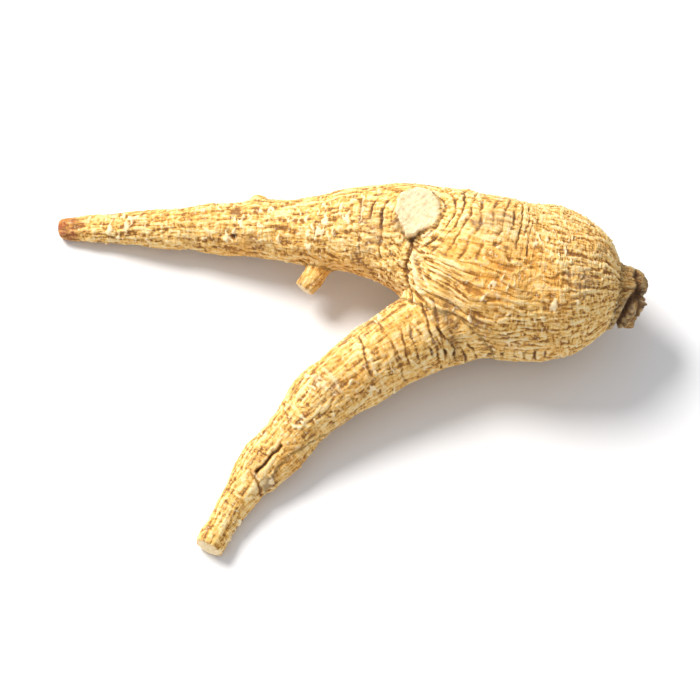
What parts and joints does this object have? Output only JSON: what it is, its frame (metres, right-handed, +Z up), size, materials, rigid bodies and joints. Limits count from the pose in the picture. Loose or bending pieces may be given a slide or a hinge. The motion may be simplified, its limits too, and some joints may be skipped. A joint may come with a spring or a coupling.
{
  "type": "american ginseng root",
  "caption": "Dried forked root with a plump ringed body, a long and a short leg, a neck stub and the scar of a cut branch; it lies on a surface.",
  "frame": {"origin": "on the resting plane, under the middle of the root's box", "axes": "+X along the taproot from the tip of the long leg to the neck, +Z up, the short leg reaches towards -Y"},
  "size_m": [0.0824, 0.0534, 0.0219],
  "materials": {
    "root_skin": "matt, dry and wrinkled cork skin with pale ridges and pale cut faces"
  },
  "bodies": {
    "root": {"ginseng_root": "root_skin"}
  },
  "joints": []
}
